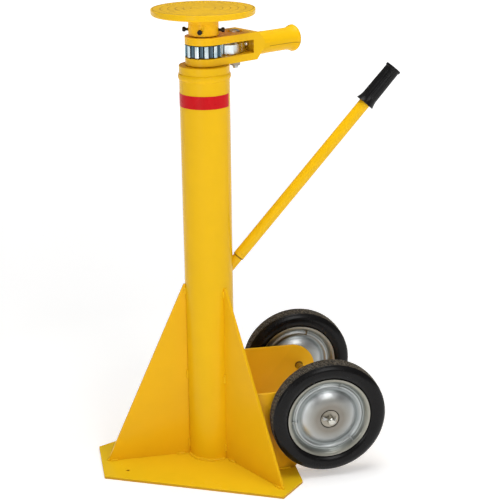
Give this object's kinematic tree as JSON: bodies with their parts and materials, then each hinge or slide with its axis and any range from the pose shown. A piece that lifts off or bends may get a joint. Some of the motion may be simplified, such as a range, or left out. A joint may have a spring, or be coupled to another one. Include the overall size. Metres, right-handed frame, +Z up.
{
  "type": "wheeled ratchet jack stand",
  "caption": "Wheeled stabilising jack stand: gusseted column on a plate base, ratchet-driven lift screw with a free-spinning round top pad, two rubber wheels and a leaning tow handle.",
  "frame": {"origin": "on the column's axis, on the floor under the base plate", "axes": "+Z up along the column and lift screw; +X along the wheel axle towards the right wheel; +Y to the rear, towards the wheels and the tow handle"},
  "size_m": [0.47, 0.6699, 1.003],
  "materials": {
    "yellow_enamel": "gloss",
    "red_reflective": "gloss",
    "zinc_plate": "satin",
    "bare_steel": "machined",
    "black_oxide": "satin",
    "tyre_rubber": "matt",
    "grip_rubber": "matt",
    "nylon": "matt",
    "bronze": "machined"
  },
  "bodies": {
    "frame": {"base_plate": "yellow_enamel", "column_tube": "yellow_enamel", "column_collar": "yellow_enamel", "collar_weld": "yellow_enamel", "foot_weld": "yellow_enamel", "lift_nut": "bronze", "reflective_band": "red_reflective", "gusset_front": "yellow_enamel", "gusset_left": "yellow_enamel", "gusset_right": "yellow_enamel", "gusset_welds": "yellow_enamel", "wheel_bracket_left": "yellow_enamel", "wheel_bracket_right": "yellow_enamel", "bracket_welds": "yellow_enamel", "axle": "zinc_plate", "axle_washers": "zinc_plate", "axle_spacers": "zinc_plate", "cotter_pins": "zinc_plate", "tow_stub": "yellow_enamel", "tow_bar": "yellow_enamel", "tow_grip": "grip_rubber"},
    "carrier": {"thrust_washer": "bronze"},
    "screw": {"lift_screw": "bare_steel", "ratchet_gear": "zinc_plate", "gear_key": "bare_steel", "stop_washer": "bare_steel", "stop_bolt": "zinc_plate"},
    "yoke": {"ratchet_yoke": "yellow_enamel", "lever_socket": "yellow_enamel", "pawl_bolt": "zinc_plate", "pawl_bolt_washer": "zinc_plate", "pawl_bolt_nut": "zinc_plate", "plunger_spring": "bare_steel"},
    "pawl": {"ratchet_pawl": "zinc_plate"},
    "plunger": {"pawl_plunger": "zinc_plate"},
    "spin_top": {"spin_top_pad": "yellow_enamel", "hub_screws": "black_oxide"},
    "wheel_left": {"tyre_left": "tyre_rubber", "wheel_disc_outer_left": "zinc_plate", "wheel_disc_inner_left": "zinc_plate", "wheel_hub_left": "zinc_plate", "wheel_bushes_left": "nylon"},
    "wheel_right": {"tyre_right": "tyre_rubber", "wheel_disc_outer_right": "zinc_plate", "wheel_disc_inner_right": "zinc_plate", "wheel_hub_right": "zinc_plate", "wheel_bushes_right": "nylon"}
  },
  "joints": [
    {"name": "lift", "type": "slide", "parent": "frame", "child": "carrier", "axis": [0, 0, 1], "range_m": [0, 0.2921]},
    {"name": "screw_turn", "type": "hinge", "parent": "carrier", "child": "screw", "pos_m": [0, 0, 0.7], "axis": [0, 0, 1], "range_deg": [0, 16561]},
    {"name": "yoke_turn", "type": "hinge", "parent": "carrier", "child": "yoke", "pos_m": [0, 0, 0.919], "axis": [0, 0, 1], "continuous": true},
    {"name": "spin_top_turn", "type": "hinge", "parent": "carrier", "child": "spin_top", "pos_m": [0, 0, 0.985], "axis": [0, 0, 1], "continuous": true},
    {"name": "pawl_flip", "type": "hinge", "parent": "yoke", "child": "pawl", "pos_m": [-0.03889, 0.07162, 0.916], "axis": [0, 0, 1], "range_deg": [-8, 8]},
    {"name": "plunger_press", "type": "slide", "parent": "yoke", "child": "plunger", "axis": [-0.4772, 0.8788, 0], "range_m": [0, 0.003], "stiffness_N_per_m": 1500, "springref_m": -0.001},
    {"name": "wheel_left_spin", "type": "hinge", "parent": "frame", "child": "wheel_left", "pos_m": [-0.146, 0.23, 0.141], "axis": [1, 0, 0], "continuous": true},
    {"name": "wheel_right_spin", "type": "hinge", "parent": "frame", "child": "wheel_right", "pos_m": [0.146, 0.23, 0.141], "axis": [1, 0, 0], "continuous": true}
  ],
  "couplings": [
    {"joint": "screw_turn", "follows": "lift", "rad_per_m": 989.48}
  ]
}
